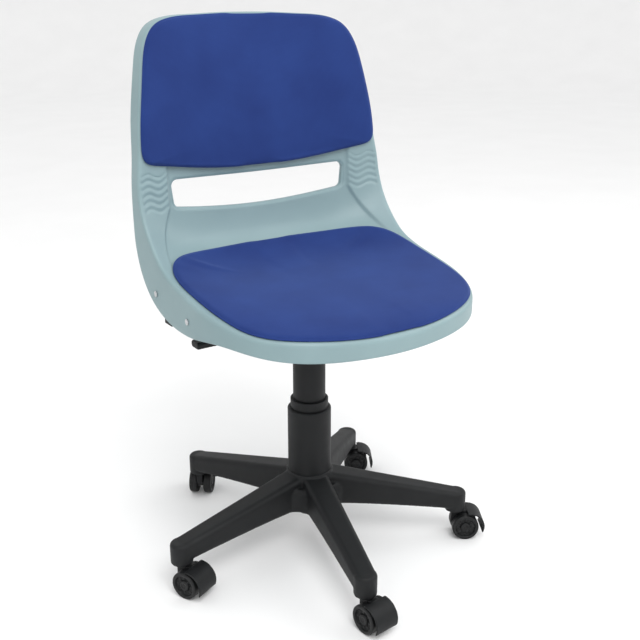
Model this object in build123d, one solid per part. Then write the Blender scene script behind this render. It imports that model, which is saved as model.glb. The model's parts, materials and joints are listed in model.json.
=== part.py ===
from build123d import *
import math
import os

# Swivel task chair. Millimetres. The floor is z = 0, the column stands on the origin,
# the chair faces -Y and +X is the sitter's left.

# ---- overall sizes ----
WALL = 4.5                 # shell wall
HALF_WIDTH = 250.0         # widest half width of the shell
SHELL_TOP = 948.5
SHELL_FRONT = -262.0
PIN_CIRCLE = 275.0         # radius of the caster stems on the base
FIRST_SPOKE = -104.5       # heading of the front spoke in degrees
SPOKES = 5
WHEEL_R = 25.0
TRAIL = 19.0               # distance from caster stem to axle
CASTER_HEADING = [-85.0, -65.0, 50.0, -32.0, -32.0]

# ---- column ----
COLUMN_TUBE_R = 25.0
TUBE_BORE_R = 22.0
CYLINDER_R = 14.0
ROD_R = 5.0
HUB_TOP = 150.0
HUB_BOTTOM = 92.0
LOWER_COVER_TOP = 273.0
MIDDLE_COVER_TOP = 290.0
HOUSING_BOTTOM = 396.0
RAIL_BOTTOM = 431.0
RAIL_TOP = 444.0
FRONT_RAIL_Y = -70.0
REAR_RAIL_Y = 133.0
FOOT_X = 120.0

os.makedirs("parts", exist_ok=True)


def save(shape, name):
    export_step(shape, "parts/" + name + ".step")


# ---- the seating surface ----
# Each row: centre-line (y, z), rim (y, z) at the widest point, and how sharply the
# surface turns up towards the rim. The rows run from the front lip to the top edge.
ROWS = [
    ((-290.0, 478.0), (-290.0, 474.0), 2.0),
    ((-262.0, 488.0), (-262.0, 485.0), 2.0),
    ((-230.0, 497.0), (-228.0, 492.0), 2.0),
    ((-190.0, 503.0), (-190.0, 498.0), 2.0),
    ((-130.0, 508.0), (-130.0, 511.5), 2.0),
    ((-75.0, 511.0), (-75.0, 522.0), 2.0),
    ((-15.0, 514.0), (-20.0, 533.0), 2.2),
    ((45.0, 518.0), (25.0, 545.0), 2.4),
    ((90.0, 527.0), (60.0, 563.0), 2.6),
    ((125.0, 544.0), (90.0, 592.0), 2.8),
    ((147.0, 571.0), (110.0, 620.0), 3.0),
    ((155.5, 606.0), (122.0, 648.0), 3.0),
    ((157.5, 645.0), (127.0, 672.0), 3.0),
    ((158.5, 685.0), (129.0, 700.0), 3.0),
    ((163.0, 735.0), (132.5, 740.0), 2.6),
    ((169.0, 795.0), (138.0, 795.0), 2.2),
    ((178.0, 860.0), (147.0, 860.0), 2.0),
    ((188.0, 920.0), (159.0, 920.0), 2.0),
    ((196.0, 965.0), (169.0, 965.0), 2.0),
]

# Free edge of the skirt, seen from the side, from the front to the top.
SKIRT_EDGE = [
    (-290.0, 456.0),
    (-262.0, 457.0),
    (-205.0, 461.5),
    (-155.0, 472.0),
    (-107.0, 475.0),
    (-50.0, 467.0),
    (0.0, 465.0),
    (46.0, 471.0),
    (90.0, 487.0),
    (125.0, 515.0),
    (146.0, 552.0),
    (155.0, 600.0),
    (157.0, 650.0),
    (161.0, 700.0),
    (169.5, 740.0),
    (178.5, 790.0),
    (188.0, 855.0),
    (198.0, 920.0),
    (205.0, 965.0),
]


def section(x, lift):
    """Side profile at x, moved by lift along its own normal towards the sitter."""
    share = min(abs(x) / HALF_WIDTH, 1.03)
    points = []
    for centre, rim, power in ROWS:
        k = share ** power
        points.append((centre[0] + (rim[0] - centre[0]) * k, centre[1] + (rim[1] - centre[1]) * k))
    moved = []
    for i in range(len(points)):
        a = points[max(i - 1, 0)]
        b = points[min(i + 1, len(points) - 1)]
        run = math.hypot(b[0] - a[0], b[1] - a[1])
        normal = (-(b[1] - a[1]) / run, (b[0] - a[0]) / run)
        moved.append((points[i][0] + normal[0] * lift, points[i][1] + normal[1] * lift))
    return moved


def edge_section(grow):
    """The skirt edge moved outwards, away from the sitter, by grow."""
    moved = []
    for i in range(len(SKIRT_EDGE)):
        a = SKIRT_EDGE[max(i - 1, 0)]
        b = SKIRT_EDGE[min(i + 1, len(SKIRT_EDGE) - 1)]
        run = math.hypot(b[0] - a[0], b[1] - a[1])
        normal = ((b[1] - a[1]) / run, -(b[0] - a[0]) / run)
        p = SKIRT_EDGE[i]
        moved.append((p[0] + normal[0] * grow, p[1] + normal[1] * grow))
    return moved


def side_wire(x, upper, lower):
    """Closed wire in the plane at x between two side profiles."""
    top = [Vector(x, y, z) for y, z in upper]
    low = [Vector(x, y, z) for y, z in lower]
    edges = [
        Edge.make_spline(top),
        Edge.make_line(top[-1], low[-1]),
        Edge.make_spline(low),
        Edge.make_line(low[0], top[0]),
    ]
    return Wire(edges)


STATIONS = [-256.0, -222.0, -180.0, -120.0, 0.0, 120.0, 180.0, 222.0, 256.0]


def band(lift_high, lift_low):
    """Dished solid between two offsets of the seating surface."""
    wires = [side_wire(x, section(x, lift_high), section(x, lift_low)) for x in STATIONS]
    return Solid.make_loft(wires)


def body_to_edge(lift_high, grow):
    """Dished solid from the seating surface down to the skirt edge."""
    wires = [side_wire(x, section(x, lift_high), edge_section(grow)) for x in STATIONS]
    return Solid.make_loft(wires)


def edge_region():
    """Everything on the sitter's side of the skirt edge, pushed through from side to side."""
    line = [Vector(-300.0, y, z) for y, z in SKIRT_EDGE]
    far_top = Vector(-300.0, -420.0, SKIRT_EDGE[-1][1])
    far_low = Vector(-300.0, -420.0, SKIRT_EDGE[0][1])
    edges = [
        Edge.make_spline(line),
        Edge.make_line(line[-1], far_top),
        Edge.make_line(far_top, far_low),
        Edge.make_line(far_low, line[0]),
    ]
    return extrude(Face(Wire(edges)), amount=600.0, dir=Vector(1, 0, 0))


def mirrored(points):
    """Right-hand half of an outline, then its mirror image, as one closed list."""
    return points + [(-x, y) for x, y in reversed(points) if abs(x) > 1e-6]


# Front view of the back (x, z) and plan view of the seat (x, y), right half.
BACK_OUTLINE = [(250.0, 600.0), (249.6, 650.0), (247.0, 690.0), (242.0, 722.0), (236.5, 768.0),
                (229.0, 816.0), (220.0, 862.0), (209.0, 902.0), (191.0, 928.0), (160.0, 941.0), (110.0, 945.5), (50.0, 948.0), (0.0, SHELL_TOP)]
SEAT_OUTLINE = [(250.0, 0.0), (249.0, -75.0), (239.5, -130.0), (224.0, -167.0), (204.5, -193.0), (172.0, -220.0),
                (122.0, -243.0), (62.0, -257.0), (0.0, SHELL_FRONT)]


def back_prism(inset, low):
    """Outline of the back pushed through from front to rear."""
    right = []
    for i, (x, z) in enumerate(BACK_OUTLINE):
        a = BACK_OUTLINE[max(i - 1, 0)]
        b = BACK_OUTLINE[min(i + 1, len(BACK_OUTLINE) - 1)]
        run = math.hypot(b[0] - a[0], b[1] - a[1])
        n = ((b[1] - a[1]) / run, -(b[0] - a[0]) / run)
        if i == 0:
            n = (1.0, 0.0)
        if i == len(BACK_OUTLINE) - 1:
            n = (0.0, 1.0)
        right.append((x - n[0] * inset, z - n[1] * inset))
    pts = [Vector(x, -20.0, z) for x, z in mirrored(right)]
    first = Vector(right[0][0], -20.0, low)
    last = Vector(-right[0][0], -20.0, low)
    edges = [
        Edge.make_line(first, pts[0]),
        Edge.make_spline(pts, tangents=[Vector(0, 0, 1), Vector(0, 0, -1)]),
        Edge.make_line(pts[-1], last),
        Edge.make_line(last, first),
    ]
    return extrude(Face(Wire(edges)), amount=320.0, dir=Vector(0, 1, 0))


def seat_prism(inset, low, high, rear):
    """Outline of the seat pushed straight down."""
    right = []
    for i, (x, y) in enumerate(SEAT_OUTLINE):
        a = SEAT_OUTLINE[max(i - 1, 0)]
        b = SEAT_OUTLINE[min(i + 1, len(SEAT_OUTLINE) - 1)]
        run = math.hypot(b[0] - a[0], b[1] - a[1])
        n = (-(b[1] - a[1]) / run, (b[0] - a[0]) / run)
        if i == 0:
            n = (1.0, 0.0)
        if i == len(SEAT_OUTLINE) - 1:
            n = (0.0, -1.0)
        right.append((x - n[0] * inset, y - n[1] * inset))
    pts = [Vector(x, y, low) for x, y in mirrored(right)]
    first = Vector(right[0][0], rear, low)
    last = Vector(-right[0][0], rear, low)
    edges = [
        Edge.make_line(first, pts[0]),
        Edge.make_spline(pts, tangents=[Vector(0, -1, 0), Vector(0, 1, 0)]),
        Edge.make_line(pts[-1], last),
        Edge.make_line(last, first),
    ]
    return extrude(Face(Wire(edges)), amount=high - low, dir=Vector(0, 0, 1))


def outline_solid(inset):
    """Everything inside the outline of the shell, inset by the wall where asked."""
    return back_prism(inset, 590.0) + seat_prism(inset, 380.0, 600.0, 280.0)


# ---- slot in the back (x, z) ----
SLOT_TOP_END = (177.5, 678.5)
SLOT_LOW_END = (176.5, 632.0)
SLOT_TOP_MID = 675.0
SLOT_LOW_MID = 618.0
SLOT_CORNER = 11.0


def slot_face(grow, y):
    """Slot outline, its upper and lower edges sagging towards the middle."""
    top = Vector(SLOT_TOP_END[0] + grow, y, SLOT_TOP_END[1] + grow)
    low = Vector(SLOT_LOW_END[0] + grow, y, SLOT_LOW_END[1] - grow)
    top_l = Vector(-top.X, y, top.Z)
    low_l = Vector(-low.X, y, low.Z)
    mid_top = Vector(0, y, SLOT_TOP_MID + grow)
    mid_low = Vector(0, y, SLOT_LOW_MID - grow)
    edges = [
        Edge.make_three_point_arc(top_l, mid_top, top),
        Edge.make_line(top, low),
        Edge.make_three_point_arc(low, mid_low, low_l),
        Edge.make_line(low_l, top_l),
    ]
    face = Face(Wire(edges))
    return face.fillet_2d(SLOT_CORNER + grow, face.vertices())


def slot_prism(grow):
    return extrude(slot_face(grow, 60.0), amount=160.0, dir=Vector(0, 1, 0))


# ---- shell ----
skirt = (body_to_edge(-1.0, 60.0) & edge_region()) - outline_solid(WALL)
shell = ((band(0.0, -WALL) + skirt) & outline_solid(0.0)) - slot_prism(0.0)
slot_rim = (band(-0.5, -14.0) & slot_prism(4.0)) - slot_prism(0.0)
shell = shell + slot_rim

# Moulded feet that stand on the two cross rails, joined by a stiffening rib on each side.
under_skin = body_to_edge(-WALL + 0.5, 90.0)
for side in (-1, 1):
    rib = Pos(side * FOOT_X, (FRONT_RAIL_Y + REAR_RAIL_Y) / 2, 480.0) * Box(
        5.0, REAR_RAIL_Y - FRONT_RAIL_Y, 160.0, align=(Align.CENTER, Align.CENTER, Align.MIN))
    for y in (FRONT_RAIL_Y, REAR_RAIL_Y):
        rib = rib + Pos(side * FOOT_X, y, RAIL_TOP + 0.2) * Cylinder(
            13.0, 160.0, align=(Align.CENTER, Align.CENTER, Align.MIN))
    rib = rib & under_skin
    for y in (FRONT_RAIL_Y, REAR_RAIL_Y):
        rib = rib - Pos(side * FOOT_X, y, RAIL_TOP) * Cylinder(
            2.9, 24.0, align=(Align.CENTER, Align.CENTER, Align.MIN))
    shell = shell + rib

# Two screws on each side of the skirt.
SIDE_SCREWS = [(78.0, 508.5), (-34.0, 491.5)]
side_screw_solids = []
for y, z in SIDE_SCREWS:
    for side in (-1, 1):
        shell = shell - Pos(side * 247.0, y, z) * Rot(0, 90, 0) * Cylinder(2.4, 20.0)
        screw = Pos(side * 244.0, y, z) * Rot(0, 90, 0) * Cylinder(2.3, 13.0)
        screw = screw + Pos(side * 251.3, y, z) * Rot(0, 90, 0) * Cylinder(5.0, 1.8)
        side_screw_solids.append(screw)

save(shell, "shell")
save(Compound(children=side_screw_solids), "side_screws")

# ---- pads and their boards ----
PAD_LOW = 3.4
BACK_PAD_HIGH = 13.0
SEAT_PAD_HIGH = 13.0
BACK_PAD = [(0.0, 686.0), (80.0, 689.0), (150.0, 697.0), (200.0, 706.0), (225.0, 714.5), (235.0, 732.0),
            (233.5, 765.0), (226.5, 812.0), (218.0, 858.0), (207.5, 897.0), (188.5, 924.0), (157.0, 938.0),
            (105.0, 943.0), (50.0, 945.5), (0.0, 946.0)]
# Front half of the seat pad in plan (x, y), and its rear end on the sloping corner (x, distance up the slope).
SEAT_PAD_FRONT = [(240.0, 40.0), (240.0, -10.0), (238.5, -70.0), (233.0, -122.0), (222.0, -161.0),
                  (203.0, -190.0), (170.0, -217.0), (121.0, -240.0), (62.0, -254.0), (0.0, -259.0)]
SEAT_PAD_REAR = [(240.0, 350.0), (240.0, 395.0), (236.0, 428.0), (224.0, 460.0), (203.0, 482.0),
                 (172.0, 493.0), (120.0, 496.5), (60.0, 497.0), (0.0, 497.0)]
SEAT_PAD_HALF = 240.0


def closed_outline(points, inset):
    """Both halves of a pad outline, shrunk towards its own middle by about inset."""
    middle = (min(p[1] for p in points) + max(p[1] for p in points)) / 2
    half_w = max(p[0] for p in points)
    half_h = max(p[1] for p in points) - middle
    kx = (half_w - inset) / half_w
    ky = (half_h - inset) / half_h
    right = [(x * kx, middle + (y - middle) * ky) for x, y in points]
    left = [(-x, y) for x, y in reversed(right) if abs(x) > 1e-6]
    return right + left


def back_pad_prism(inset):
    pts = [Vector(x, 20.0, z) for x, z in closed_outline(BACK_PAD, inset)]
    return extrude(Face(Wire([Edge.make_spline(pts, periodic=True)])), amount=220.0, dir=Vector(0, 1, 0))


def seat_pad_prism(inset):
    """Plan outline at the front, cut off square to the slope at the rear, both shrunk by inset."""
    k = (SEAT_PAD_HALF - inset) / SEAT_PAD_HALF
    front = [Vector(x, y, 430.0) for x, y in mirrored([(x * k, y * k) for x, y in SEAT_PAD_FRONT])]
    corner_r = Vector(front[0].X, 230.0, 430.0)
    corner_l = Vector(front[-1].X, 230.0, 430.0)
    plan = Face(Wire([
        Edge.make_line(corner_r, front[0]),
        Edge.make_spline(front, tangents=[Vector(0, -1, 0), Vector(0, 1, 0)]),
        Edge.make_line(front[-1], corner_l),
        Edge.make_line(corner_l, corner_r),
    ]))
    slope = Plane(origin=(0, -70.0, 70.0), x_dir=(1, 0, 0), z_dir=(0, -1, 1))
    rear = [slope.from_local_coords(Vector(x, up, 0)) for x, up in
            mirrored([(x * k, up - inset) for x, up in SEAT_PAD_REAR])]
    up_dir = slope.y_dir
    low_r = slope.from_local_coords(Vector(SEAT_PAD_REAR[0][0] * k, 60.0, 0))
    low_l = slope.from_local_coords(Vector(-SEAT_PAD_REAR[0][0] * k, 60.0, 0))
    end = Face(Wire([
        Edge.make_line(low_r, rear[0]),
        Edge.make_spline(rear, tangents=[up_dir, up_dir * -1]),
        Edge.make_line(rear[-1], low_l),
        Edge.make_line(low_l, low_r),
    ]))
    tall = extrude(plan, amount=220.0, dir=Vector(0, 0, 1))
    return tall & extrude(end, amount=700.0, dir=slope.z_dir)


save(band(BACK_PAD_HIGH, PAD_LOW) & back_pad_prism(0.0), "back_pad")
save(band(SEAT_PAD_HIGH, PAD_LOW) & seat_pad_prism(0.0), "seat_pad")
board = band(3.1, 0.3)
save(board & back_pad_prism(10.0), "back_pad_board")
save(board & seat_pad_prism(12.0), "seat_pad_board")

# ---- cross rails, caps and screws ----
RAIL_DEPTH = 25.0
RAIL_SKIN = 1.5
REAR_HALF = 204.0
FRONT_HALF = 150.0
BOLT_X = 44.0
RAIL_H = RAIL_TOP - RAIL_BOTTOM
RAIL_MID = (RAIL_TOP + RAIL_BOTTOM) / 2


def rail(half, y):
    """Flat steel tube with the foot screw holes and the housing bolt holes."""
    tube = Box(2 * half, RAIL_DEPTH, RAIL_H) - Box(2 * half + 2, RAIL_DEPTH - 2 * RAIL_SKIN, RAIL_H - 2 * RAIL_SKIN)
    for x in (-FOOT_X, -BOLT_X, BOLT_X, FOOT_X):
        tube = tube - Pos(x, 0, 0) * Cylinder(3.2, RAIL_H + 2)
    return Pos(0, y, RAIL_MID) * tube


save(rail(FRONT_HALF, FRONT_RAIL_Y), "front_rail")
save(rail(REAR_HALF, REAR_RAIL_Y), "rear_rail")

caps = []
for y, half in ((FRONT_RAIL_Y, FRONT_HALF), (REAR_RAIL_Y, REAR_HALF)):
    for side in (-1, 1):
        cap = Pos(side * (half + 1.7), y, RAIL_MID) * Box(3.0, RAIL_DEPTH + 2.0, RAIL_H + 2.0)
        plug = Pos(side * (half - 6.0), y, RAIL_MID) * Box(13.0, RAIL_DEPTH - 3.2, RAIL_H - 3.2)
        caps.append(cap + plug)
save(Compound(children=caps), "rail_caps")

foot_screws = []
for y in (FRONT_RAIL_Y, REAR_RAIL_Y):
    for x in (-FOOT_X, FOOT_X):
        screw = Pos(x, y, RAIL_BOTTOM - 4.1) * Cylinder(5.5, 4.0, align=(Align.CENTER, Align.CENTER, Align.MIN))
        screw = screw - Pos(x, y, RAIL_BOTTOM - 4.2) * Cylinder(2.5, 2.2, align=(Align.CENTER, Align.CENTER, Align.MIN))
        shank = Pos(x, y, RAIL_BOTTOM - 0.2) * Cylinder(2.85, 34.0, align=(Align.CENTER, Align.CENTER, Align.MIN))
        foot_screws.append(screw + shank)
save(Compound(children=foot_screws), "foot_screws")

# ---- housing under the seat ----
HOUSING_X = 60.0
HOUSING_FRONT = -95.0
HOUSING_REAR = 152.0
HOUSING_TOP = 428.0
SKIN = 2.5
SOCKET_R = 20.0
CYLINDER_TOP = 414.0
LEVER_Z = 421.5
LEVER_PIVOT_X = -48.0


def block(x0, x1, y0, y1, z0, z1):
    return Pos((x0 + x1) / 2, (y0 + y1) / 2, (z0 + z1) / 2) * Box(x1 - x0, y1 - y0, z1 - z0)


def upright(r, x, y, z0, z1):
    return Pos(x, y, z0) * Cylinder(r, z1 - z0, align=(Align.CENTER, Align.CENTER, Align.MIN))


housing = block(-HOUSING_X, HOUSING_X, HOUSING_FRONT, HOUSING_REAR, HOUSING_BOTTOM, HOUSING_TOP)
housing = fillet(housing.edges().filter_by(Axis.Z), 12.0)
housing = fillet(housing.faces().sort_by(Axis.Z)[0].edges(), 6.0)
cavity = block(-HOUSING_X + SKIN, HOUSING_X - SKIN, HOUSING_FRONT + SKIN, HOUSING_REAR - SKIN,
               HOUSING_BOTTOM + SKIN, HOUSING_TOP + 5)
cavity = fillet(cavity.edges().filter_by(Axis.Z), 9.5)
housing = housing - cavity
housing = housing + upright(SOCKET_R, 0, 0, HOUSING_BOTTOM, 411.0)
for y in (-12.0, 9.0):
    housing = housing + block(-56.0, -40.0, y, y + 3.0, HOUSING_BOTTOM + 1, 427.0)
for x in (-BOLT_X, BOLT_X):
    for y in (FRONT_RAIL_Y, REAR_RAIL_Y):
        housing = housing + upright(7.0, x, y, HOUSING_BOTTOM + 1, HOUSING_TOP)
        housing = housing - upright(2.9, x, y, HOUSING_BOTTOM - 1, HOUSING_TOP + 1)
housing = housing - upright(CYLINDER_R + 0.02, 0, 0, HOUSING_BOTTOM - 1, 412.0)
housing = housing - block(-HOUSING_X - 1, -56.5, -6.0, 6.0, 412.0, HOUSING_TOP + 1)
housing = housing - Pos(LEVER_PIVOT_X, 0, LEVER_Z) * Rot(90, 0, 0) * Cylinder(2.0, 40.0)
save(housing, "mechanism_housing")

lid = block(-HOUSING_X - 4, HOUSING_X + 4, HOUSING_FRONT - 4, HOUSING_REAR + 4, HOUSING_TOP + 0.1, RAIL_BOTTOM - 0.1)
lid = fillet(lid.edges().filter_by(Axis.Z), 14.0)
for x in (-BOLT_X, BOLT_X):
    for y in (FRONT_RAIL_Y, REAR_RAIL_Y):
        lid = lid - upright(3.2, x, y, HOUSING_TOP - 1, RAIL_BOTTOM + 1)
save(lid, "mechanism_lid")

bolts = []
for x in (-BOLT_X, BOLT_X):
    for y in (FRONT_RAIL_Y, REAR_RAIL_Y):
        head = Pos(x, y, RAIL_TOP + 0.1) * extrude(RegularPolygon(5.6, 6), 4.0)
        bolts.append(head + upright(2.85, x, y, 404.0, RAIL_TOP + 0.2))
save(Compound(children=bolts), "housing_bolts")

# ---- lift lever ----
LEVER_R = 4.0
LEVER_PATH = [(12.0, 0.0, LEVER_Z), (-76.0, 0.0, LEVER_Z), (-132.0, 24.0, 427.0), (-196.0, 24.0, 427.0)]
lever = None
for i in range(len(LEVER_PATH) - 1):
    a = Vector(*LEVER_PATH[i])
    b = Vector(*LEVER_PATH[i + 1])
    run = Plane(origin=a, z_dir=(b - a)) * Cylinder(LEVER_R, (b - a).length, align=(Align.CENTER, Align.CENTER, Align.MIN))
    lever = run if lever is None else lever + run
for p in LEVER_PATH[1:3]:
    lever = lever + Pos(*p) * Sphere(LEVER_R)
lever = lever + Pos(LEVER_PIVOT_X, 0, LEVER_Z) * Rot(90, 0, 0) * Cylinder(5.8, 12.0)
lever = lever - Pos(LEVER_PIVOT_X, 0, LEVER_Z) * Rot(90, 0, 0) * Cylinder(2.06, 40.0)
save(lever, "lift_lever")
save(Pos(LEVER_PIVOT_X, 0, LEVER_Z) * Rot(90, 0, 0) * Cylinder(2.0, 25.0), "lever_pin")

GRIP_X0 = -212.0
GRIP_X1 = -146.0
grip = Pos((GRIP_X0 + GRIP_X1) / 2, 24.0, 427.0) * Box(GRIP_X1 - GRIP_X0, 26.0, 13.0)
grip = fillet(grip.edges().filter_by(Axis.X), 5.5)
grip = fillet(grip.faces().sort_by(Axis.X)[0].edges(), 3.0)
for i in range(5):
    for z in (420.5, 433.5):
        grip = grip - Pos(-204.0 + i * 7.0, 24.0, z) * Box(2.4, 30.0, 2.0)
grip = grip - Pos(-146.0, 24.0, 427.0) * Rot(0, 90, 0) * Cylinder(LEVER_R + 0.02, 102.0)
save(grip, "lever_grip")

# ---- gas lift ----
button = upright(3.9, 0, 0, 402.0, LEVER_Z - LEVER_R - 0.2)
save(button, "release_button")

CYLINDER_LOW = 160.0
cylinder = upright(CYLINDER_R, 0, 0, CYLINDER_LOW, CYLINDER_TOP)
cylinder = cylinder - upright(12.0, 0, 0, CYLINDER_LOW + 6, 392.0)
cylinder = cylinder - upright(ROD_R + 0.06, 0, 0, CYLINDER_LOW - 1, CYLINDER_LOW + 7)
cylinder = cylinder - upright(3.96, 0, 0, 396.0, CYLINDER_TOP + 1)
save(cylinder, "pressure_cylinder")

rod = upright(ROD_R, 0, 0, 56.0, 308.0) + upright(11.9, 0, 0, 300.0, 308.0)
save(rod, "piston_rod")
save(upright(10.0, 0, 0, 58.6, 61.6) - upright(ROD_R, 0, 0, 58.0, 62.0), "retaining_clip")

TUBE_BOTTOM = 62.0
tube = upright(COLUMN_TUBE_R, 0, 0, TUBE_BOTTOM, 268.0) - upright(TUBE_BORE_R, 0, 0, TUBE_BOTTOM + 4, 270.0)
tube = tube - upright(ROD_R + 0.4, 0, 0, 60.0, 70.0)
save(tube, "column_tube")
save(upright(TUBE_BORE_R - 0.02, 0, 0, 186.0, 266.0) - upright(CYLINDER_R + 0.06, 0, 0, 180.0, 270.0), "guide_bushing")
save(upright(15.0, 0, 0, 66.2, 72.0) - upright(ROD_R + 0.4, 0, 0, 60.0, 80.0), "thrust_bearing")

# ---- telescopic cover ----
upper = upright(29.2, 0, 0, 262.0, HOUSING_BOTTOM - 0.4) + upright(31.3, 0, 0, 262.0, 265.0)
upper = upper - upright(27.0, 0, 0, 250.0, 392.0)
upper = upper - upright(CYLINDER_R + 0.3, 0, 0, 380.0, 400.0)
save(upper, "cover_upper")

middle = upright(34.2, 0, 0, 200.0, MIDDLE_COVER_TOP)
middle = fillet(middle.faces().sort_by(Axis.Z)[-1].edges(), 1.5)
middle = middle + upright(36.5, 0, 0, 200.0, 203.0)
middle = middle - upright(31.8, 0, 0, 190.0, MIDDLE_COVER_TOP - 2.5)
middle = middle - upright(29.6, 0, 0, 190.0, MIDDLE_COVER_TOP + 1)
save(middle, "cover_middle")

lower = upright(39.5, 0, 0, HUB_TOP + 0.1, LOWER_COVER_TOP)
lower = fillet(lower.faces().sort_by(Axis.Z)[-1].edges(), 4.0)
lower = lower - upright(37.0, 0, 0, HUB_TOP - 1, LOWER_COVER_TOP - 3.0)
lower = lower - upright(34.6, 0, 0, HUB_TOP - 1, LOWER_COVER_TOP + 1)
save(lower, "cover_lower")

# ---- five-star base ----
SOCKET_TOP = 95.0
SOCKET_LOW = 56.0
STEM_R = 5.45
# distance from the centre, width, height of the top, depth
SPOKE_SECTIONS = [(30.0, 50.0, 147.0, 66.0), (110.0, 46.0, 130.0, 53.0), (195.0, 42.0, 112.5, 43.0), (281.0, 38.0, 94.5, 34.0)]


def spoke_wire(r, width, top, depth, corner):
    plane = Plane(origin=(r, 0, top - depth / 2), x_dir=(0, 1, 0), z_dir=(1, 0, 0))
    return (plane * RectangleRounded(width, depth, corner)).faces()[0].outer_wire()


spoke = Solid.make_loft([spoke_wire(r, w, t, d, 9.0) for r, w, t, d in SPOKE_SECTIONS])
pocket = Solid.make_loft([
    spoke_wire(r, w - 10.0, t - 6.0, d + 10.0, 5.0)
    for r, w, t, d in [(46.0, 49.5, 143.6, 63.0), (110.0, 46.0, 130.0, 53.0), (195.0, 42.0, 112.5, 43.0),
                       (248.0, 39.5, 101.4, 37.0)]
])
for i in range(4):
    pocket = pocket - Pos(80.0 + i * 44.0, 0, 90.0) * Box(3.0, 60.0, 120.0)
socket = upright(19.5, PIN_CIRCLE, 0, SOCKET_LOW, SOCKET_TOP)
socket = fillet(socket.faces().sort_by(Axis.Z)[-1].edges(), 6.0)
arm = (spoke - pocket) + socket
bore = upright(STEM_R + 0.05, PIN_CIRCLE, 0, SOCKET_LOW - 1, 86.0)

base = upright(42.0, 0, 0, HUB_BOTTOM, HUB_TOP)
base = fillet(base.faces().sort_by(Axis.Z)[-1].edges(), 2.0)
for i in range(SPOKES):
    base = base + Rot(0, 0, FIRST_SPOKE - i * 72.0) * arm
base = base - upright(31.0, 0, 0, 70.0, HUB_TOP + 1)
for i in range(SPOKES):
    base = base - Rot(0, 0, FIRST_SPOKE - i * 72.0) * bore
save(base, "five_star_base")
save(upright(30.98, 0, 0, HUB_BOTTOM, HUB_TOP) - upright(25.0, 0, 0, HUB_BOTTOM - 1, HUB_TOP + 1), "hub_collar")

# ---- casters ----
HOOD_X = 27.0
HOOD_Z = 26.5
HOOD_R = 28.0
HOOD_SKIN = 2.4
HOOD_HALF = 23.0
WHEEL_GAP = 6.5
AXLE_R = 4.0


def across(r, half, x, z):
    """Cylinder lying across the caster, centred on the caster's middle plane."""
    return Pos(x, 0, z) * Rot(90, 0, 0) * Cylinder(r, 2 * half)


hood = across(HOOD_R, HOOD_HALF, HOOD_X, HOOD_Z) - across(HOOD_R - HOOD_SKIN, HOOD_HALF + 1, HOOD_X, HOOD_Z)
hood_sector = make_face(Polyline((0, 0), (54, -25), (80, 60), (-10, 59), close=True))
keep = Pos(HOOD_X, 0, HOOD_Z) * Rot(90, 0, 0) * extrude(hood_sector, 30.0, both=True)
hood = hood & keep
web = across(12.0, 5.8, TRAIL, WHEEL_R)
web = web + Pos(13.5, 0, 37.0) * Box(41.0, 11.6, 31.0)
web = web & (across(HOOD_R - 0.8, 6.0, HOOD_X, HOOD_Z) + Pos(6.0, 0, 42.0) * Box(26.0, 12.0, 22.0))
housing_c = hood + web
housing_c = housing_c - across(AXLE_R, 8.0, TRAIL, WHEEL_R)
housing_c = housing_c - upright(3.5, 0, 0, 33.0, 60.0)
stem = upright(3.48, 0, 0, 34.0, 54.0) + upright(9.0, 0, 0, 53.3, 55.4) + upright(STEM_R, 0, 0, 53.5, 84.0)
axle = across(AXLE_R - 0.02, 21.5, TRAIL, WHEEL_R)

wheel = Pos(TRAIL, -WHEEL_GAP, WHEEL_R) * Rot(90, 0, 0) * Cylinder(
    WHEEL_R, 16.0, align=(Align.CENTER, Align.CENTER, Align.MIN))
wheel = fillet(wheel.edges(), 2.5)
face_ring = Pos(TRAIL, -WHEEL_GAP - 14.5, WHEEL_R) * Rot(90, 0, 0) * Cylinder(
    17.0, 5.0, align=(Align.CENTER, Align.CENTER, Align.MIN))
face_ring = face_ring - Pos(TRAIL, -WHEEL_GAP - 14.0, WHEEL_R) * Rot(90, 0, 0) * Cylinder(
    8.0, 8.0, align=(Align.CENTER, Align.CENTER, Align.MIN))
wheel = wheel - face_ring
wheel = wheel - across(AXLE_R + 0.05, 30.0, TRAIL, WHEEL_R)
wheel_other = wheel.mirror(Plane.XZ)

NAMES = ["front", "front_right", "rear_right", "rear_left", "front_left"]
for i in range(SPOKES):
    angle = math.radians(FIRST_SPOKE - i * 72.0)
    place = Pos(PIN_CIRCLE * math.cos(angle), PIN_CIRCLE * math.sin(angle), 0) * Rot(0, 0, CASTER_HEADING[i])
    name = NAMES[i]
    save(place * housing_c, "caster_housing_" + name)
    save(place * stem, "caster_stem_" + name)
    save(place * axle, "caster_axle_" + name)
    save(place * wheel, "wheel_a_" + name)
    save(place * wheel_other, "wheel_b_" + name)

for label, shape in (("shell", shell), ("base", base), ("housing", housing), ("caster", housing_c), ("wheel", wheel)):
    print(label, shape.is_valid, len(shape.solids()), round(shape.volume / 1000.0, 1))
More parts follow.
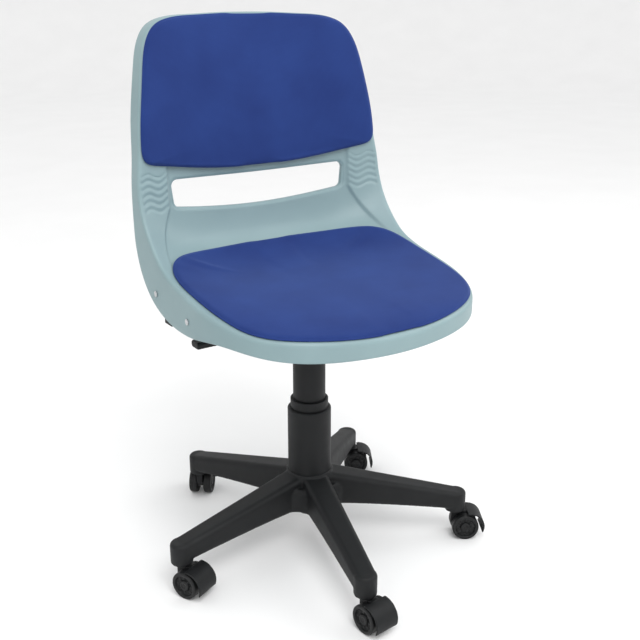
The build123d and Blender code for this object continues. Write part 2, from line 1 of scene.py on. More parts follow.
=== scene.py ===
import bmesh
import bpy
import json
import math
import numpy as np
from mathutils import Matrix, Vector


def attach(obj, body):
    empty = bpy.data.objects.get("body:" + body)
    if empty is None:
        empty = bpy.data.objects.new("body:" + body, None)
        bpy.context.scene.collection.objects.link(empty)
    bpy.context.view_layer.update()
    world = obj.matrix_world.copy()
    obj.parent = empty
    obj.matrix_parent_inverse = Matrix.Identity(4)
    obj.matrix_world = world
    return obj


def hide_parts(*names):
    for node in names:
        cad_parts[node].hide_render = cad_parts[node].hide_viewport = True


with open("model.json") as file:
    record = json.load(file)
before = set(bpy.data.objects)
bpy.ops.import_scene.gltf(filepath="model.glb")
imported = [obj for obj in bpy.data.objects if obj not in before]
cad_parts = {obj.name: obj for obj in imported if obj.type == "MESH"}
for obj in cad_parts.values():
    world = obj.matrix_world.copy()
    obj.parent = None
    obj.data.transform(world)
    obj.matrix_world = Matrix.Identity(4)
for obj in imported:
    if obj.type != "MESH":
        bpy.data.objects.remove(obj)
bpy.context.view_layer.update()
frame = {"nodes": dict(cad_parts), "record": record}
MM = 0.001

# ------------------------------------------------------------------ the seating surface
# The same rows as the CAD part: centre-line (y, z), rim (y, z), and how sharply it turns up.
ROWS = [
    ((-290.0, 478.0), (-290.0, 474.0), 2.0),
    ((-262.0, 488.0), (-262.0, 485.0), 2.0),
    ((-230.0, 497.0), (-228.0, 492.0), 2.0),
    ((-190.0, 503.0), (-190.0, 498.0), 2.0),
    ((-130.0, 508.0), (-130.0, 511.5), 2.0),
    ((-75.0, 511.0), (-75.0, 522.0), 2.0),
    ((-15.0, 514.0), (-20.0, 533.0), 2.2),
    ((45.0, 518.0), (25.0, 545.0), 2.4),
    ((90.0, 527.0), (60.0, 563.0), 2.6),
    ((125.0, 544.0), (90.0, 592.0), 2.8),
    ((147.0, 571.0), (110.0, 620.0), 3.0),
    ((155.5, 606.0), (122.0, 648.0), 3.0),
    ((157.5, 645.0), (127.0, 672.0), 3.0),
    ((158.5, 685.0), (129.0, 700.0), 3.0),
    ((163.0, 735.0), (132.5, 740.0), 2.6),
    ((169.0, 795.0), (138.0, 795.0), 2.2),
    ((178.0, 860.0), (147.0, 860.0), 2.0),
    ((188.0, 920.0), (159.0, 920.0), 2.0),
    ((196.0, 965.0), (169.0, 965.0), 2.0),
]
# Free edge of the skirt from the side. At the front it stands up to 5.5 mm higher than in the CAD part.
SKIRT_EDGE = [
    (-290.0, 456.0), (-262.0, 459.0), (-205.0, 467.0), (-155.0, 475.0), (-107.0, 475.0), (-50.0, 467.0),
    (0.0, 465.0), (46.0, 471.0), (90.0, 487.0), (125.0, 515.0), (146.0, 552.0), (155.0, 600.0),
    (157.0, 650.0), (161.0, 700.0), (169.5, 740.0), (178.5, 790.0), (188.0, 855.0), (198.0, 920.0),
    (205.0, 965.0),
]
BACK_OUTLINE = [
    (250.0, 600.0), (249.6, 650.0), (247.0, 690.0), (242.0, 722.0), (236.5, 768.0), (229.0, 816.0),
    (220.0, 862.0), (209.0, 902.0), (191.0, 928.0), (160.0, 941.0), (110.0, 945.5), (50.0, 948.0),
    (0.0, 948.5),
]
SEAT_OUTLINE = [
    (250.0, 0.0), (249.0, -75.0), (239.5, -130.0), (224.0, -167.0), (204.5, -193.0), (172.0, -220.0),
    (122.0, -243.0), (62.0, -257.0), (0.0, -262.0),
]
HALF_WIDTH = 250.0
WALL = 4.5
RIM_R = 9.0


def cubic(knots, values, clamp=None):
    """Cubic spline through the values as a function. clamp gives the two end slopes."""
    knots = np.asarray(knots, float)
    values = np.asarray(values, float)
    n = len(knots)
    step = np.diff(knots)
    matrix = np.zeros((n, n))
    right = np.zeros((n,) + values.shape[1:])
    for i in range(1, n - 1):
        matrix[i, i - 1] = step[i - 1]
        matrix[i, i] = 2 * (step[i - 1] + step[i])
        matrix[i, i + 1] = step[i]
        right[i] = 6 * ((values[i + 1] - values[i]) / step[i] - (values[i] - values[i - 1]) / step[i - 1])
    if clamp is None:
        matrix[0, 0] = 1.0
        matrix[-1, -1] = 1.0
    else:
        matrix[0, 0] = 2 * step[0]
        matrix[0, 1] = step[0]
        right[0] = 6 * ((values[1] - values[0]) / step[0] - clamp[0])
        matrix[-1, -1] = 2 * step[-1]
        matrix[-1, -2] = step[-1]
        right[-1] = 6 * (clamp[1] - (values[-1] - values[-2]) / step[-1])
    bend = np.linalg.solve(matrix, right.reshape(n, -1)).reshape(values.shape)

    def at(x):
        x = np.asarray(x, float)
        i = np.clip(np.searchsorted(knots, x) - 1, 0, n - 2)
        shape = x.shape + (1,) * (values.ndim - 1)
        h = step[i].reshape(shape)
        a = (knots[i + 1] - x).reshape(shape)
        b = (x - knots[i]).reshape(shape)
        curved = (bend[i] * a ** 3 + bend[i + 1] * b ** 3) / (6 * h)
        return curved + (values[i] / h - bend[i] * h / 6) * a + (values[i + 1] / h - bend[i + 1] * h / 6) * b

    return at


row_table = np.array([[c[0], c[1], r[0], r[1], p] for c, r, p in ROWS])
row_t = np.concatenate([[0.0], np.cumsum(np.hypot(np.diff(row_table[:, 0]), np.diff(row_table[:, 1])))])
row_at = cubic(row_t, row_table)
T_END = row_t[-1]


def surface(x, t):
    """Point of the seating surface at x on the profile distance t, in millimetres."""
    x = np.asarray(x, float)
    row = row_at(t)
    share = np.clip(np.abs(x) / HALF_WIDTH, 0, 1.03) ** row[..., 4]
    y = row[..., 0] + (row[..., 2] - row[..., 0]) * share
    z = row[..., 1] + (row[..., 3] - row[..., 1]) * share
    return np.stack([x, y, z], -1)


def normal(x, t):
    """Unit normal towards the sitter."""
    dx = surface(x + 0.5, t) - surface(x - 0.5, t)
    dt = surface(x, t + 0.5) - surface(x, t - 0.5)
    n = np.cross(dx, dt)
    return n / np.linalg.norm(n, axis=-1, keepdims=True)


def t_where(x, axis, value):
    """Profile distance at which the surface at x reaches this y (axis 1) or z (axis 2)."""
    low = np.zeros_like(x)
    high = np.full_like(x, T_END)
    for _ in range(40):
        mid = (low + high) / 2
        under = surface(x, mid)[..., axis] < value
        low = np.where(under, mid, low)
        high = np.where(under, high, mid)
    return (low + high) / 2


def smooth(a, b, v):
    k = np.clip((v - a) / (b - a), 0, 1)
    return k * k * (3 - 2 * k)


def chain(points):
    points = np.asarray(points, float)
    return np.concatenate([[0.0], np.cumsum(np.linalg.norm(np.diff(points, axis=0), axis=1))])


# ------------------------------------------------------------------ mesh helpers
def make_object(name, verts, faces, material, body, slot_name=None, smooth_shade=True):
    mesh = bpy.data.meshes.new(name)
    mesh.from_pydata([tuple(v) for v in verts], [], [tuple(f) for f in faces])
    mesh.update()
    obj = bpy.data.objects.new(name, mesh)
    bpy.context.scene.collection.objects.link(obj)
    if material is not None:
        mesh.materials.append(material)
    if smooth_shade:
        mesh.shade_smooth()
    if body is not None:
        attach(obj, body)
    return obj


def fix_normals(obj):
    bm = bmesh.new()
    bm.from_mesh(obj.data)
    bmesh.ops.recalc_face_normals(bm, faces=bm.faces)
    bm.to_mesh(obj.data)
    bm.free()


def loft_rings(rings, closed_ring=True, cap=False):
    """Faces between rings of the same length. Returns (verts, faces)."""
    count = len(rings[0])
    verts = [v for ring in rings for v in ring]
    faces = []
    last = count if closed_ring else count - 1
    for k in range(len(rings) - 1):
        for i in range(last):
            j = (i + 1) % count
            faces.append((k * count + i, k * count + j, (k + 1) * count + j, (k + 1) * count + i))
    if cap:
        faces.append(tuple(range(count - 1, -1, -1)))
        faces.append(tuple((len(rings) - 1) * count + i for i in range(count)))
    return verts, faces


# ------------------------------------------------------------------ materials
def new_material(name):
    material = bpy.data.materials.new(name)
    material.use_nodes = True
    tree = material.node_tree
    return material, tree.nodes, tree.links, tree.nodes["Principled BSDF"]


def add_noise(nodes, links, coords, scale, detail=3.0, rough=0.5):
    node = nodes.new("ShaderNodeTexNoise")
    node.inputs["Scale"].default_value = scale
    node.inputs["Detail"].default_value = detail
    node.inputs["Roughness"].default_value = rough
    links.new(coords, node.inputs["Vector"])
    return node.outputs["Fac"]


def ramp(nodes, links, fac, stops):
    node = nodes.new("ShaderNodeValToRGB")
    while len(node.color_ramp.elements) < len(stops):
        node.color_ramp.elements.new(0.5)
    for element, (place, colour) in zip(node.color_ramp.elements, stops):
        element.position = place
        element.color = (*colour, 1.0)
    links.new(fac, node.inputs["Fac"])
    return node.outputs["Color"]


def map_range(nodes, links, fac, low, high):
    node = nodes.new("ShaderNodeMapRange")
    node.inputs["To Min"].default_value = low
    node.inputs["To Max"].default_value = high
    links.new(fac, node.inputs["Value"])
    return node.outputs["Result"]


def add_bump(nodes, links, height, strength, distance, below=None):
    node = nodes.new("ShaderNodeBump")
    node.inputs["Strength"].default_value = strength
    node.inputs["Distance"].default_value = distance
    links.new(height, node.inputs["Height"])
    if below is not None:
        links.new(below, node.inputs["Normal"])
    return node.outputs["Normal"]


def plastic(name, dark, light, rough_low, rough_high, grain, grain_strength, grain_depth, sheen_spec=0.5):
    """Moulded plastic: a slow change of tone, fine spark-eroded grain and uneven gloss."""
    material, nodes, links, bsdf = new_material(name)
    coords = nodes.new("ShaderNodeTexCoord").outputs["Object"]
    slow = add_noise(nodes, links, coords, 9.0, 2.0)
    links.new(ramp(nodes, links, slow, [(0.3, dark), (0.7, light)]), bsdf.inputs["Base Color"])
    uneven = add_noise(nodes, links, coords, 55.0, 4.0, 0.6)
    links.new(map_range(nodes, links, uneven, rough_low, rough_high), bsdf.inputs["Roughness"])
    fine = add_noise(nodes, links, coords, grain, 2.0, 0.55)
    links.new(add_bump(nodes, links, fine, grain_strength, grain_depth), bsdf.inputs["Normal"])
    bsdf.inputs["Specular IOR Level"].default_value = sheen_spec
    return material


def metal(name, colour, rough_low, rough_high, metallic, brush):
    """Steel: fine streaks along one axis under uneven roughness."""
    material, nodes, links, bsdf = new_material(name)
    coords = nodes.new("ShaderNodeTexCoord").outputs["Object"]
    mapping = nodes.new("ShaderNodeMapping")
    mapping.inputs["Scale"].default_value = brush
    links.new(coords, mapping.inputs["Vector"])
    streak = add_noise(nodes, links, mapping.outputs["Vector"], 40.0, 3.0)
    shade = [tuple(c * 0.85 for c in colour), tuple(min(1.0, c * 1.12) for c in colour)]
    links.new(ramp(nodes, links, streak, [(0.3, shade[0]), (0.7, shade[1])]), bsdf.inputs["Base Color"])
    links.new(map_range(nodes, links, streak, rough_low, rough_high), bsdf.inputs["Roughness"])
    links.new(add_bump(nodes, links, streak, 0.25, 0.0002), bsdf.inputs["Normal"])
    bsdf.inputs["Metallic"].default_value = metallic
    return material


def woven(name, dark, light, pitch):
    """Plain-weave upholstery cloth: two crossed sets of yarns, fuzz and a slow colour drift."""
    material, nodes, links, bsdf = new_material(name)
    coords = nodes.new("ShaderNodeTexCoord").outputs["Object"]
    waves = []
    for axis in ("X", "Y", "Z"):
        wave = nodes.new("ShaderNodeTexWave")
        wave.bands_direction = axis
        wave.inputs["Scale"].default_value = 1.0 / (pitch * 20.0) * math.pi
        wave.inputs["Distortion"].default_value = 3.0
        wave.inputs["Detail"].default_value = 1.0
        wave.inputs["Detail Scale"].default_value = 2.0
        links.new(coords, wave.inputs["Vector"])
        waves.append(wave.outputs["Fac"])
    first = nodes.new("ShaderNodeMath")
    first.operation = "MULTIPLY"
    links.new(waves[0], first.inputs[0])
    links.new(waves[1], first.inputs[1])
    second = nodes.new("ShaderNodeMath")
    second.operation = "MULTIPLY"
    links.new(waves[0], second.inputs[0])
    links.new(waves[2], second.inputs[1])
    both = nodes.new("ShaderNodeMath")
    both.operation = "MAXIMUM"
    links.new(first.outputs[0], both.inputs[0])
    links.new(second.outputs[0], both.inputs[1])
    fuzz = add_noise(nodes, links, coords, 1400.0, 2.0)
    slow = add_noise(nodes, links, coords, 11.0, 3.0)
    mix = nodes.new("ShaderNodeMath")
    mix.operation = "MULTIPLY_ADD"
    mix.inputs[1].default_value = 0.12
    links.new(both.outputs[0], mix.inputs[0])
    links.new(slow, mix.inputs[2])
    links.new(ramp(nodes, links, mix.outputs[0], [(0.1, dark), (0.95, light)]), bsdf.inputs["Base Color"])
    links.new(map_range(nodes, links, fuzz, 0.78, 0.95), bsdf.inputs["Roughness"])
    under = add_bump(nodes, links, fuzz, 0.2, 0.0002)
    links.new(add_bump(nodes, links, both.outputs[0], 0.18, 0.0002, under), bsdf.inputs["Normal"])
    bsdf.inputs["Sheen Weight"].default_value = 0.3
    bsdf.inputs["Sheen Roughness"].default_value = 0.4
    bsdf.inputs["Sheen Tint"].default_value = (0.35, 0.5, 1.0, 1.0)
    bsdf.inputs["Specular IOR Level"].default_value = 0.2
    return material


SHELL = plastic("shell_moulded", (0.205, 0.298, 0.316), (0.226, 0.324, 0.342),
                0.4, 0.52, 900.0, 0.12, 0.0002)
NYLON = plastic("black_moulded_nylon", (0.0055, 0.0062, 0.007), (0.0085, 0.0092, 0.01),
                0.48, 0.64, 700.0, 0.25, 0.0003, 0.28)
WHEEL = plastic("black_wheel_nylon", (0.005, 0.0055, 0.006), (0.008, 0.0085, 0.009),
                0.4, 0.55, 500.0, 0.15, 0.0002, 0.3)
POWDER = plastic("black_powder_coat", (0.006, 0.006, 0.0065), (0.01, 0.01, 0.0105),
                 0.5, 0.65, 1200.0, 0.35, 0.0002, 0.3)
BOARD = plastic("board_fibre", (0.05, 0.05, 0.05), (0.08, 0.08, 0.08), 0.7, 0.85, 300.0, 0.3, 0.0003)
STEEL = metal("bright_steel", (0.55, 0.56, 0.57), 0.22, 0.4, 1.0, (1.0, 1.0, 30.0))
FABRIC = woven("blue_woven_cloth", (0.0085, 0.022, 0.118), (0.017, 0.044, 0.19), 0.0012)

slot_material = {
    "shell_plastic": SHELL,
    "fabric": FABRIC,
    "board": BOARD,
    "black_nylon": NYLON,
    "wheel_nylon": WHEEL,
    "black_steel": POWDER,
    "bright_steel": STEEL,
}
# Caster axles and stems are blackened here, whatever their slot says.
for part in frame["record"]["subparts"]:
    cad_node = frame["nodes"][part["node"]]
    for material_slot in cad_node.material_slots:
        material_slot.material = slot_material[part["material_slot"]]
        if part["node"].startswith("caster_axle") or part["node"].startswith("caster_stem"):
            material_slot.material = POWDER

# ------------------------------------------------------------------ shell
# Outline of the shell from the middle of the front edge to the middle of the top edge, on the +X side.
seat_line = np.array(SEAT_OUTLINE[::-1])
seat_chain = chain(seat_line)
seat_curve = cubic(seat_chain, seat_line, clamp=(np.array([1.0, 0.0]), np.array([0.0, 1.0])))
back_line = np.array(BACK_OUTLINE)
back_chain = chain(back_line)
back_curve = cubic(back_chain, back_line, clamp=(np.array([0.0, 1.0]), np.array([-1.0, 0.0])))
seat_dense = seat_curve(np.linspace(0, seat_chain[-1], 400))
back_dense = back_curve(np.linspace(0, back_chain[-1], 500))
seat_ts = t_where(seat_dense[:, 0], 1, seat_dense[:, 1])
back_ts = t_where(back_dense[:, 0], 2, back_dense[:, 1])
mid_ts = np.linspace(seat_ts[-1], back_ts[0], 200)[1:-1]
half_x = np.concatenate([seat_dense[:, 0], np.full(len(mid_ts), 250.0), back_dense[:, 0]])
half_t = np.concatenate([seat_ts, mid_ts, back_ts])
half_x[0] = 0.0
half_x[-1] = 0.0

# Even spacing along the edge, closer where the wavy ribs are.
half_points = surface(half_x, half_t)
half_run = chain(half_points)
EDGE_SPACING = 5.0
RIBBED_SPACING = 1.8
point_x = half_points[:, 0]
point_z = half_points[:, 2]
ribbed = (smooth(600, 625, point_z) - smooth(700, 725, point_z)) * (point_x > 200)
wanted = EDGE_SPACING - (EDGE_SPACING - RIBBED_SPACING) * ribbed
density = np.concatenate([[0.0], np.cumsum(np.diff(half_run) / ((wanted[1:] + wanted[:-1]) / 2))])
COUNT = int(round(density[-1]))
picks = np.interp(np.linspace(0, density[-1], COUNT + 1), density, half_run)
rim_x = np.interp(picks, half_run, half_x)
rim_t = np.interp(picks, half_run, half_t)
spine_t = np.interp(rim_t, [rim_t[0], rim_t[-1]], [rim_t[0] + 110.0, rim_t[-1] - 75.0])

# ---- slot and the relief round it
SLOT_CORNER = 11.0


def arc_height(end_x, end_z, mid_z, x):
    """z of the circular arc through (-end_x, end_z), (0, mid_z), (end_x, end_z)."""
    sag = end_z - mid_z
    radius = (end_x ** 2 + sag ** 2) / (2 * sag)
    return mid_z + radius - np.sqrt(radius ** 2 - np.asarray(x, float) ** 2)


def slot_outline(grow, per_corner=8):
    """Closed list of (x, z) round the slot, grown outwards by grow."""
    top_x, top_z = 177.5 + grow, 678.5 + grow
    low_x, low_z = 176.5 + grow, 632.0 - grow
    r = SLOT_CORNER + grow
    points = []
    for x in np.linspace(-(low_x - r), low_x - r, 61):
        points.append((x, float(arc_height(low_x, low_z, 618.0 - grow, x))))
    slope_low = math.atan2(arc_height(low_x, low_z, 618.0 - grow, low_x - r) - arc_height(
        low_x, low_z, 618.0 - grow, low_x - r - 1), 1.0)
    slope_top = math.atan2(arc_height(top_x, top_z, 675.0 + grow, top_x - r) - arc_height(
        top_x, top_z, 675.0 + grow, top_x - r - 1), 1.0)
    start = np.array(points[-1])
    centre = start + r * np.array([-math.sin(slope_low), math.cos(slope_low)])
    for a in np.linspace(slope_low - math.pi / 2, 0.0, per_corner + 2)[1:]:
        points.append((centre[0] + r * math.cos(a), centre[1] + r * math.sin(a)))
    end = np.array([top_x - r, float(arc_height(top_x, top_z, 675.0 + grow, top_x - r))])
    centre = end + r * np.array([math.sin(slope_top), -math.cos(slope_top)])
    for a in np.linspace(0.0, slope_top + math.pi / 2, per_corner + 2)[:-1]:
        points.append((centre[0] + r * math.cos(a), centre[1] + r * math.sin(a)))
    for x in np.linspace(top_x - r, -(top_x - r), 61):
        points.append((x, float(arc_height(top_x, top_z, 675.0 + grow, x))))
    right = [p for p in points[61:61 + 2 * (per_corner + 1)]]
    for x, z in reversed(right):
        points.append((-x, z))
    return np.array(points)


def slot_distance(x, z):
    """Rough signed distance outside the slot edge, in millimetres."""
    ax = np.abs(x)
    top = arc_height(177.5, 678.5, 675.0, np.minimum(ax, 190.0))
    low = arc_height(176.5, 632.0, 618.0, np.minimum(ax, 190.0))
    mid = (top + low) / 2
    qx = ax - (177.0 - SLOT_CORNER)
    qz = np.abs(z - mid) - ((top - low) / 2 - SLOT_CORNER)
    outside = np.hypot(np.maximum(qx, 0), np.maximum(qz, 0))
    inside = np.minimum(np.maximum(qx, qz), 0)
    return outside + inside - SLOT_CORNER


def panel_sink(p):
    """Depth of the sunk panel round and below the slot, bounded by a crease on each wing."""
    ax = np.abs(p[..., 0])
    z = p[..., 2]
    crease = 188.0 + 38.0 * np.clip((632.0 - z) / 75.0, 0, 1)
    inside = 1 - smooth(-5.0, 1.5, ax - crease)
    return 4.4 * inside * smooth(540.0, 580.0, z) * (1 - smooth(700.0, 730.0, z))


def relief(p):
    """How far the front face sinks (negative) or stands up, in millimetres."""
    x, y, z = p[..., 0], p[..., 1], p[..., 2]
    ax = np.abs(x)
    d = slot_distance(x, z)
    # the edge of the slot rolls in
    out = -2.6 * (1 - smooth(-1.0, 5.0, d)) * (z > 590)
    # wavy ribs on both wings
    across = (ax - 186.0) / 56.0
    wave = 4.6 * np.cos(2 * math.pi * (across * 1.22 - 0.93)) * (1.0 - 0.25 * across)
    phase = (z - wave - 629.0) / 11.6
    window = smooth(0.0, 0.07, across) * (1 - smooth(0.93, 1.0, across))
    window = window * smooth(0.0, 0.22, phase) * (1 - smooth(5.35, 5.6, phase))
    groove = 0.5 - 0.5 * np.cos(2 * math.pi * phase)
    out = out - 1.5 * groove ** 1.5 * window
    return out - panel_sink(p)


def rim_values(side):
    x = rim_x * side
    p = surface(x, rim_t)
    n = normal(x, rim_t)
    phi = smooth(-40.0, 150.0, p[:, 1]) * smooth(500.0, 655.0, p[:, 2])
    phi = np.where(p[:, 2] > 655, 1.0, phi) * math.pi / 2
    down = np.stack([np.zeros_like(phi), np.sin(phi), -np.cos(phi)], -1)
    return x, p, n, down


edge_line = np.array(SKIRT_EDGE)
edge_dense = cubic(chain(edge_line), edge_line)(np.linspace(0, chain(edge_line)[-1], 1500))


def skirt_depth(p, down):
    """Distance from the rim along the skirt direction to its free edge, seen from the side."""
    depths = []
    for point, way in zip(p, down):
        rel = edge_dense - point[1:]
        along = rel @ way[1:]
        aside = rel @ np.array([way[2], -way[1]])
        cross = np.nonzero((aside[1:] * aside[:-1] <= 0) & (along[1:] > 1.0))[0]
        depths.append(min(along[k] for k in cross) if len(cross) else 40.0)
    depths = np.array(depths)
    for _ in range(6):
        depths[1:-1] = 0.25 * depths[:-2] + 0.5 * depths[1:-1] + 0.25 * depths[2:]
    return depths


def build_shell():
    """Closed shell: front face, rounded rim, skirt and rear face.

    The moulded feet and ribs that the CAD shell has under the seat are not made here.
    """
    near = [RIM_R, RIM_R + 1.6] + list(np.arange(RIM_R + 3.6, 76.0, 2.1))
    far = np.linspace(0, 1, 24)[1:]
    columns = []
    for side in (1, -1):
        x, p, n, down = rim_values(side)
        q = surface(np.zeros_like(x), spine_t)
        length = np.linalg.norm(p - q, axis=1)
        tangent = np.gradient(p, axis=0)
        out = np.cross(tangent, down)
        out /= np.linalg.norm(out, axis=1, keepdims=True)
        flip = np.sign(np.sum(out * (p - q), axis=1, keepdims=True))
        out = out * flip
        depth = skirt_depth(p, down)

        def inner(k):
            lam = 1 - k / length
            return x * lam, spine_t + (rim_t - spine_t) * lam

        top_rings = []
        low_rings = []
        for d in near:
            u, v = inner(d)
            s = surface(u, v)
            top_rings.append(s + normal(u, v) * relief(s)[:, None])
            if d > RIM_R + 1:
                low_rings.append(s - normal(u, v) * (WALL + panel_sink(s)[:, None]))
        for f in far:
            lam = (1 - near[-1] / length) * (1 - f)
            u, v = x * lam, spine_t + (rim_t - spine_t) * lam
            s = surface(u, v)
            top_rings.append(s + normal(u, v) * relief(s)[:, None])
            low_rings.append(s - normal(u, v) * (WALL + panel_sink(s)[:, None]))
        start = top_rings[0]
        drop = np.minimum(RIM_R, depth * 0.5)[:, None]
        landing = p + down * drop
        rim = []
        for k in np.linspace(0, 1, 7)[1:-1]:
            rim.append((1 - k) ** 2 * start + 2 * k * (1 - k) * p + k ** 2 * landing)
        wall_out = [p + down * (drop + (depth[:, None] - drop - 1.6) * k) for k in np.linspace(0, 1, 7)]
        lip = []
        for a in np.linspace(0, math.pi, 7)[1:-1]:
            lip_down = depth[:, None] - 1.6 + 1.6 * math.sin(a)
            lip.append(p + down * lip_down - out * (WALL / 2 * (1 - math.cos(a))))
        wall_in = []
        for k in np.linspace(1, 0, 6):
            wall_in.append(p - out * WALL + down * (WALL + 2.5 + (depth[:, None] - WALL - 4.1) * k))
        sequence = top_rings[::-1] + rim + wall_out + lip + wall_in + low_rings
        columns.append(sequence)
    rings = []
    for right, left in zip(columns[0], columns[1]):
        rings.append(np.concatenate([right, left[::-1][1:-1]]))
    verts, faces = loft_rings([ring * MM for ring in rings])
    obj = make_object("shell_skin", verts, faces, SHELL, None)
    bm = bmesh.new()
    bm.from_mesh(obj.data)
    bmesh.ops.remove_doubles(bm, verts=bm.verts, dist=0.00002)
    bmesh.ops.holes_fill(bm, edges=[e for e in bm.edges if e.is_boundary])
    bmesh.ops.recalc_face_normals(bm, faces=bm.faces)
    bm.to_mesh(obj.data)
    bm.free()
    return obj


def cut_with(obj, verts, faces):
    """Cuts a closed form out of obj and removes the cutter."""
    cutter = make_object("cutter", verts, faces, None, None, smooth_shade=False)
    fix_normals(cutter)
    modifier = obj.modifiers.new("cut", "BOOLEAN")
    modifier.operation = "DIFFERENCE"
    modifier.solver = "EXACT"
    modifier.object = cutter
    bpy.context.view_layer.update()
    result = bpy.data.meshes.new_from_object(obj.evaluated_get(bpy.context.evaluated_depsgraph_get()))
    obj.modifiers.remove(modifier)
    old = obj.data
    obj.data = result
    bpy.data.meshes.remove(old)
    bpy.data.objects.remove(cutter)


shell = build_shell()
slot_ring = slot_outline(0.0)
prism = [[(x * MM, y, z * MM) for x, z in slot_ring] for y in (0.09, 0.23)]
cut_with(shell, *loft_rings(prism, cap=True))
shell.data.shade_smooth()
shell.data.set_sharp_from_angle(angle=math.radians(38))
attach(shell, "seat")
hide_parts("shell")


def surface_y(x, z):
    """y of the seating surface seen from the front at (x, z)."""
    t = t_where(np.asarray(x, float), 2, np.asarray(z, float))
    return surface(np.asarray(x, float), t)[..., 1]


# Rim of the slot: a rounded lip in front and a short wall behind.
lip_profile = [
    (3.4, 6.6), (2.6, 6.1), (1.3, 6.1), (0.4, 6.8), (0.0, 8.0), (0.0, 10.5), (0.0, 13.5), (0.7, 14.3),
    (3.0, 14.3), (3.6, 13.6), (3.6, 10.5), (3.6, 7.8),
]
lip_rings = []
for grow, depth in lip_profile:
    line = slot_outline(grow)
    base_y = surface_y(line[:, 0], line[:, 1])
    lip_rings.append([(x * MM, (y + depth) * MM, z * MM) for (x, z), y in zip(line, base_y)])
slot_lip = make_object("slot_lip", *loft_rings(lip_rings + [lip_rings[0]]), SHELL, "seat", "shell_plastic")
fix_normals(slot_lip)

# ------------------------------------------------------------------ pads
# Outlines of the pads, the half on the +X side. The back pad is 1 to 3.5 mm wider and 2 mm higher than the
# CAD solid it replaces. At the rear the seat pad stops short of its CAD solid, by 7 mm in the middle and by
# up to about 23 mm near the corners.
BACK_PAD = [
    (0.0, 686.0), (80.0, 689.0), (150.0, 697.0), (200.0, 705.0), (221.0, 709.0), (232.0, 714.0),
    (237.5, 723.0), (238.5, 738.0), (236.5, 765.0), (229.5, 812.0), (221.0, 858.0), (210.0, 899.0),
    (191.0, 927.0), (158.0, 940.5), (105.0, 945.0), (50.0, 947.5), (0.0, 948.0),
]
SEAT_PAD_FRONT = [
    (0.0, -259.0), (62.0, -254.0), (121.0, -240.0), (170.0, -217.0), (203.0, -190.0), (222.0, -161.0),
    (233.0, -122.0), (238.5, -70.0), (240.0, -25.0),
]
# Rear end of the seat pad: x and height up the 45 degree slope.
SEAT_PAD_REAR = [
    (240.0, 385.0), (236.5, 413.0), (226.0, 439.0), (206.0, 459.0), (172.0, 473.0), (120.0, 482.5),
    (60.0, 488.0), (0.0, 490.0),
]
PAD_LOW = 3.4
PAD_EDGE = 9.5
PAD_ROLL = 6.0
PAD_CROWN = 3.5
SWELL_CAP = 3.5
PAD_SHRINK = 1.0           # inset of the form from its outline
SEAT_SPINE = 190.0         # from each end of the pad to the end of its middle line, along the surface
BACK_SPINE = 100.0
PAD_PRESSURE = 4.0
CLOTH_FRAMES = 20
CALM_REACH = 0.035         # half width, in metres, of the strip that is smoothed
BOARD_LOW = 0.6
BOARD_HIGH = 3.0
BOARD_CORE = 60.0          # the board's rim stands within this distance of its outline


def t_up_slope(x, up):
    """Profile distance at which the surface at x reaches this height up the 45 degree slope."""
    low = np.zeros_like(x)
    high = np.full_like(x, T_END)
    for _ in range(40):
        mid = (low + high) / 2
        at = surface(x, mid)
        under = (at[..., 1] + at[..., 2]) * math.sqrt(0.5) < up
        low = np.where(under, mid, low)
        high = np.where(under, high, mid)
    return (low + high) / 2


def rounded_line(points, count):
    line = np.array(points, float)
    run = chain(line)
    return cubic(run, line)(np.linspace(0, run[-1], count))


back_half = rounded_line(BACK_PAD, 90)
back_half_t = t_where(back_half[:, 0], 2, back_half[:, 1])
front_half = rounded_line(SEAT_PAD_FRONT, 70)
rear_half = rounded_line(SEAT_PAD_REAR, 60)
seat_half_x = np.concatenate([front_half[:, 0], rear_half[:, 0]])
front_half_t = t_where(front_half[:, 0], 1, front_half[:, 1])
rear_half_t = t_up_slope(rear_half[:, 0], rear_half[:, 1])
seat_half_t = np.concatenate([front_half_t, rear_half_t])


def even_outline(x, t, count):
    """Half an outline, evenly spaced along the surface."""
    run = chain(surface(x, t))
    picks = np.linspace(0, run[-1], count)
    return np.interp(picks, run, x), np.interp(picks, run, t)


